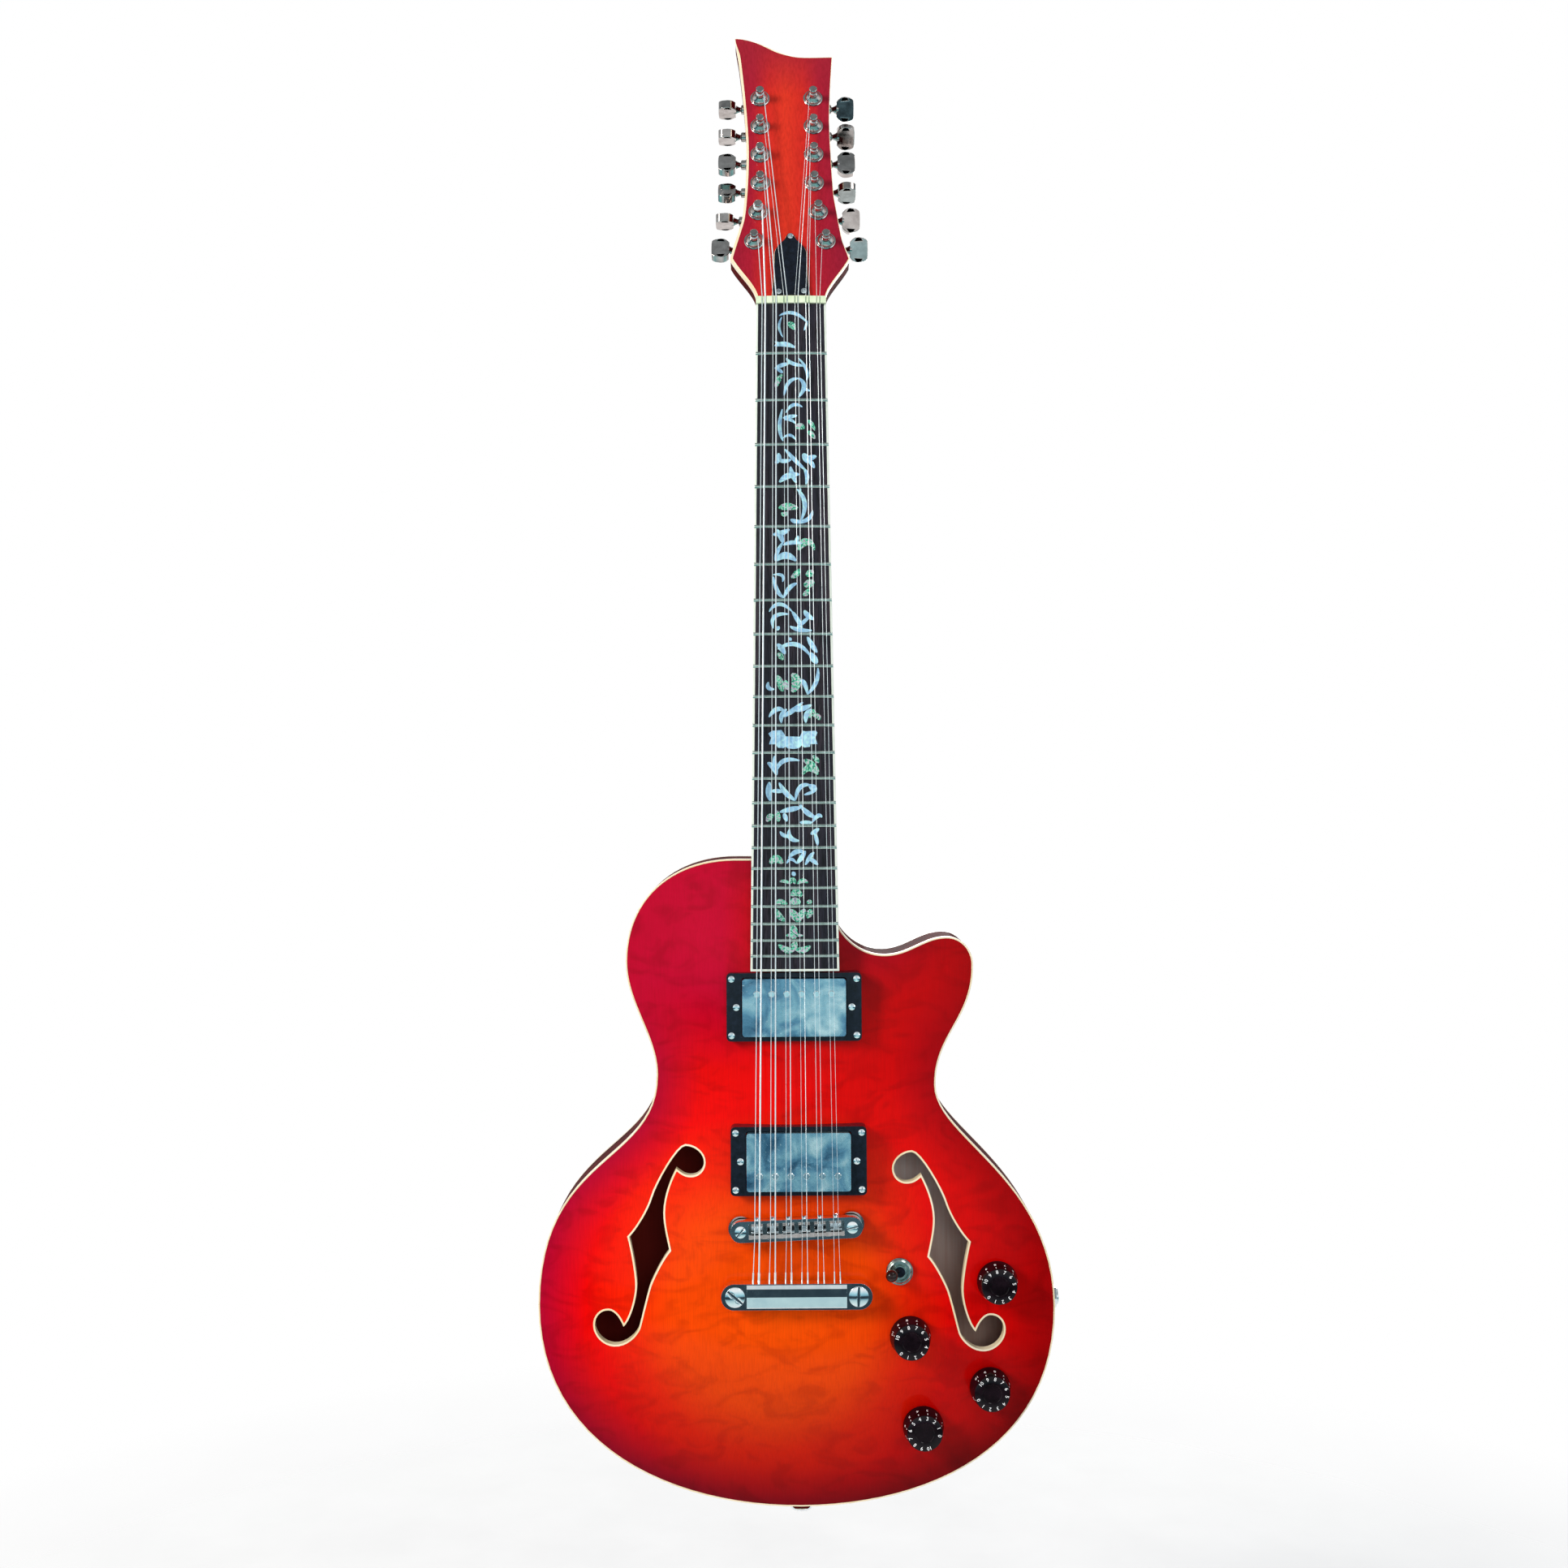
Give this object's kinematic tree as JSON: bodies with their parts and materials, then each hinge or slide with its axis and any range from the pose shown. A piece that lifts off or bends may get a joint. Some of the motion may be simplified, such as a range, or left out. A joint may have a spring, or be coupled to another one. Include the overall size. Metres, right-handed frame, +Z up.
{
  "type": "twelve-string semi-hollow electric guitar",
  "caption": "Semi-hollow single-cutaway electric guitar: bound arched top with f-holes, paired strings, turning tuners, covered pickups, knobs, selector and sliding saddles.",
  "frame": {"origin": "middle of the fretboard's face where it meets the nut, just under the headstock, where a neck hanger holds the guitar", "axes": "+Z up along the body towards the headstock, +X to the treble side (the viewer's right), +Y to the back"},
  "size_m": [0.3567, 0.1234, 1.0515],
  "materials": {
    "chrome": "polished",
    "steel": "satin",
    "stained_mahogany": "glossy red lacquer",
    "maple_block": "bare",
    "cherry_burst_lacquer": "high-gloss cherry sunburst lacquer",
    "cream_binding": "glossy",
    "rosewood": "oiled",
    "nut_plastic": "satin",
    "black_plastic": "glossy"
  },
  "bodies": {
    "guitar_body": {"back_binding": "cream_binding", "body_back": "stained_mahogany", "body_sides": "stained_mahogany", "body_top": "cherry_burst_lacquer", "bridge": "chrome", "centre_block": "maple_block", "f_hole_binding_bass": "cream_binding", "f_hole_binding_treble": "cream_binding", "fretboard": "rosewood", "fretboard_binding": "cream_binding", "headstock_face": "cherry_burst_lacquer", "neck": "stained_mahogany", "nut": "nut_plastic", "output_jack": "chrome", "pickup_bridge": "chrome", "pickup_neck": "chrome", "pickup_ring_bridge": "black_plastic", "pickup_ring_neck": "black_plastic", "strap_button_end": "chrome", "strap_button_heel": "chrome", "tailpiece_with_strings": "chrome", "toggle_switch": "chrome", "top_binding": "cream_binding", "truss_rod": "steel", "truss_rod_cover": "black_plastic"},
    "key_bass_1": {"key_bass_1": "chrome"},
    "key_bass_2": {"key_bass_2": "chrome"},
    "key_bass_3": {"key_bass_3": "chrome"},
    "key_bass_4": {"key_bass_4": "chrome"},
    "key_bass_5": {"key_bass_5": "chrome"},
    "key_bass_6": {"key_bass_6": "chrome"},
    "key_treble_1": {"key_treble_1": "chrome"},
    "key_treble_2": {"key_treble_2": "chrome"},
    "key_treble_3": {"key_treble_3": "chrome"},
    "key_treble_4": {"key_treble_4": "chrome"},
    "key_treble_5": {"key_treble_5": "chrome"},
    "key_treble_6": {"key_treble_6": "chrome"},
    "knob_bridge_tone": {"knob_bridge_tone": "black_plastic"},
    "knob_bridge_volume": {"knob_bridge_volume": "black_plastic"},
    "knob_neck_tone": {"knob_neck_tone": "black_plastic"},
    "knob_neck_volume": {"knob_neck_volume": "black_plastic"},
    "post_bass_1": {"post_bass_1": "chrome"},
    "post_bass_2": {"post_bass_2": "chrome"},
    "post_bass_3": {"post_bass_3": "chrome"},
    "post_bass_4": {"post_bass_4": "chrome"},
    "post_bass_5": {"post_bass_5": "chrome"},
    "post_bass_6": {"post_bass_6": "chrome"},
    "post_treble_1": {"post_treble_1": "chrome"},
    "post_treble_2": {"post_treble_2": "chrome"},
    "post_treble_3": {"post_treble_3": "chrome"},
    "post_treble_4": {"post_treble_4": "chrome"},
    "post_treble_5": {"post_treble_5": "chrome"},
    "post_treble_6": {"post_treble_6": "chrome"},
    "saddle_1": {"saddle_1": "chrome"},
    "saddle_2": {"saddle_2": "chrome"},
    "saddle_3": {"saddle_3": "chrome"},
    "saddle_4": {"saddle_4": "chrome"},
    "saddle_5": {"saddle_5": "chrome"},
    "saddle_6": {"saddle_6": "chrome"},
    "toggle_lever": {"toggle_lever": "black_plastic"}
  },
  "joints": [
    {"name": "key_bass_1_turn", "type": "hinge", "parent": "guitar_body", "child": "key_bass_1", "pos_m": [-0.0258, 0.04018, 0.0496], "axis": [-1, 0, 0], "continuous": true},
    {"name": "key_bass_2_turn", "type": "hinge", "parent": "guitar_body", "child": "key_bass_2", "pos_m": [-0.0228, 0.04732, 0.07293], "axis": [-1, 0, 0], "continuous": true},
    {"name": "key_bass_3_turn", "type": "hinge", "parent": "guitar_body", "child": "key_bass_3", "pos_m": [-0.0213, 0.05445, 0.09627], "axis": [-1, 0, 0], "continuous": true},
    {"name": "key_bass_4_turn", "type": "hinge", "parent": "guitar_body", "child": "key_bass_4", "pos_m": [-0.0213, 0.06159, 0.1196], "axis": [-1, 0, 0], "continuous": true},
    {"name": "key_bass_5_turn", "type": "hinge", "parent": "guitar_body", "child": "key_bass_5", "pos_m": [-0.0213, 0.06872, 0.14294], "axis": [-1, 0, 0], "continuous": true},
    {"name": "key_bass_6_turn", "type": "hinge", "parent": "guitar_body", "child": "key_bass_6", "pos_m": [-0.0213, 0.07585, 0.16627], "axis": [-1, 0, 0], "continuous": true},
    {"name": "key_treble_1_turn", "type": "hinge", "parent": "guitar_body", "child": "key_treble_1", "pos_m": [0.02515, 0.04018, 0.0496], "axis": [1, 0, 0], "continuous": true},
    {"name": "key_treble_2_turn", "type": "hinge", "parent": "guitar_body", "child": "key_treble_2", "pos_m": [0.02005, 0.04732, 0.07293], "axis": [1, 0, 0], "continuous": true},
    {"name": "key_treble_3_turn", "type": "hinge", "parent": "guitar_body", "child": "key_treble_3", "pos_m": [0.0175, 0.05445, 0.09627], "axis": [1, 0, 0], "continuous": true},
    {"name": "key_treble_4_turn", "type": "hinge", "parent": "guitar_body", "child": "key_treble_4", "pos_m": [0.0175, 0.06159, 0.1196], "axis": [1, 0, 0], "continuous": true},
    {"name": "key_treble_5_turn", "type": "hinge", "parent": "guitar_body", "child": "key_treble_5", "pos_m": [0.0175, 0.06872, 0.14294], "axis": [1, 0, 0], "continuous": true},
    {"name": "key_treble_6_turn", "type": "hinge", "parent": "guitar_body", "child": "key_treble_6", "pos_m": [0.0175, 0.07585, 0.16627], "axis": [1, 0, 0], "continuous": true},
    {"name": "post_bass_1_turn", "type": "hinge", "parent": "guitar_body", "child": "post_bass_1", "pos_m": [-0.0258, 0.01964, 0.05013], "axis": [0, -0.9563, 0.2924], "continuous": true},
    {"name": "post_bass_2_turn", "type": "hinge", "parent": "guitar_body", "child": "post_bass_2", "pos_m": [-0.0228, 0.02678, 0.07346], "axis": [0, -0.9563, 0.2924], "continuous": true},
    {"name": "post_bass_3_turn", "type": "hinge", "parent": "guitar_body", "child": "post_bass_3", "pos_m": [-0.0213, 0.03391, 0.0968], "axis": [0, -0.9563, 0.2924], "continuous": true},
    {"name": "post_bass_4_turn", "type": "hinge", "parent": "guitar_body", "child": "post_bass_4", "pos_m": [-0.0213, 0.04104, 0.12013], "axis": [0, -0.9563, 0.2924], "continuous": true},
    {"name": "post_bass_5_turn", "type": "hinge", "parent": "guitar_body", "child": "post_bass_5", "pos_m": [-0.0213, 0.04818, 0.14347], "axis": [0, -0.9563, 0.2924], "continuous": true},
    {"name": "post_bass_6_turn", "type": "hinge", "parent": "guitar_body", "child": "post_bass_6", "pos_m": [-0.0213, 0.05531, 0.1668], "axis": [0, -0.9563, 0.2924], "continuous": true},
    {"name": "post_treble_1_turn", "type": "hinge", "parent": "guitar_body", "child": "post_treble_1", "pos_m": [0.02515, 0.01964, 0.05013], "axis": [0, -0.9563, 0.2924], "continuous": true},
    {"name": "post_treble_2_turn", "type": "hinge", "parent": "guitar_body", "child": "post_treble_2", "pos_m": [0.02005, 0.02678, 0.07346], "axis": [0, -0.9563, 0.2924], "continuous": true},
    {"name": "post_treble_3_turn", "type": "hinge", "parent": "guitar_body", "child": "post_treble_3", "pos_m": [0.0175, 0.03391, 0.0968], "axis": [0, -0.9563, 0.2924], "continuous": true},
    {"name": "post_treble_4_turn", "type": "hinge", "parent": "guitar_body", "child": "post_treble_4", "pos_m": [0.0175, 0.04104, 0.12013], "axis": [0, -0.9563, 0.2924], "continuous": true},
    {"name": "post_treble_5_turn", "type": "hinge", "parent": "guitar_body", "child": "post_treble_5", "pos_m": [0.0175, 0.04818, 0.14347], "axis": [0, -0.9563, 0.2924], "continuous": true},
    {"name": "post_treble_6_turn", "type": "hinge", "parent": "guitar_body", "child": "post_treble_6", "pos_m": [0.0175, 0.05531, 0.1668], "axis": [0, -0.9563, 0.2924], "continuous": true},
    {"name": "knob_bridge_volume_turn", "type": "hinge", "parent": "guitar_body", "child": "knob_bridge_volume", "pos_m": [0.1362, -0.01392, -0.67315], "axis": [0, -1, 0], "range_deg": [0, 280]},
    {"name": "knob_neck_volume_turn", "type": "hinge", "parent": "guitar_body", "child": "knob_neck_volume", "pos_m": [0.0764, -0.02091, -0.70745], "axis": [0, -1, 0], "range_deg": [0, 280]},
    {"name": "knob_bridge_tone_turn", "type": "hinge", "parent": "guitar_body", "child": "knob_bridge_tone", "pos_m": [0.1308, -0.0124, -0.74465], "axis": [0, -1, 0], "range_deg": [0, 280]},
    {"name": "knob_neck_tone_turn", "type": "hinge", "parent": "guitar_body", "child": "knob_neck_tone", "pos_m": [0.0852, -0.01434, -0.76965], "axis": [0, -1, 0], "range_deg": [-130, 150]},
    {"name": "toggle_lever_throw", "type": "hinge", "parent": "guitar_body", "child": "toggle_lever", "pos_m": [0.0695, -0.01732, -0.66405], "axis": [0, 0, 1], "range_deg": [0, 44]},
    {"name": "saddle_1_slide", "type": "slide", "parent": "guitar_body", "child": "saddle_1", "axis": [-0.0366, 0, 0.9993], "range_m": [-0.0015, 0.0015]},
    {"name": "saddle_2_slide", "type": "slide", "parent": "guitar_body", "child": "saddle_2", "axis": [-0.0366, 0, 0.9993], "range_m": [-0.0015, 0.0015]},
    {"name": "saddle_3_slide", "type": "slide", "parent": "guitar_body", "child": "saddle_3", "axis": [-0.0366, 0, 0.9993], "range_m": [-0.0015, 0.0015]},
    {"name": "saddle_4_slide", "type": "slide", "parent": "guitar_body", "child": "saddle_4", "axis": [-0.0366, 0, 0.9993], "range_m": [-0.0015, 0.0015]},
    {"name": "saddle_5_slide", "type": "slide", "parent": "guitar_body", "child": "saddle_5", "axis": [-0.0366, 0, 0.9993], "range_m": [-0.0015, 0.0015]},
    {"name": "saddle_6_slide", "type": "slide", "parent": "guitar_body", "child": "saddle_6", "axis": [-0.0366, 0, 0.9993], "range_m": [-0.0015, 0.0015]}
  ],
  "couplings": [
    {"joint": "post_bass_1_turn", "follows": "key_bass_1_turn", "ratio": -0.066667},
    {"joint": "post_bass_2_turn", "follows": "key_bass_2_turn", "ratio": -0.066667},
    {"joint": "post_bass_3_turn", "follows": "key_bass_3_turn", "ratio": -0.066667},
    {"joint": "post_bass_4_turn", "follows": "key_bass_4_turn", "ratio": -0.066667},
    {"joint": "post_bass_5_turn", "follows": "key_bass_5_turn", "ratio": -0.066667},
    {"joint": "post_bass_6_turn", "follows": "key_bass_6_turn", "ratio": -0.066667},
    {"joint": "post_treble_1_turn", "follows": "key_treble_1_turn", "ratio": 0.066667},
    {"joint": "post_treble_2_turn", "follows": "key_treble_2_turn", "ratio": 0.066667},
    {"joint": "post_treble_3_turn", "follows": "key_treble_3_turn", "ratio": 0.066667},
    {"joint": "post_treble_4_turn", "follows": "key_treble_4_turn", "ratio": 0.066667},
    {"joint": "post_treble_5_turn", "follows": "key_treble_5_turn", "ratio": 0.066667},
    {"joint": "post_treble_6_turn", "follows": "key_treble_6_turn", "ratio": 0.066667}
  ]
}
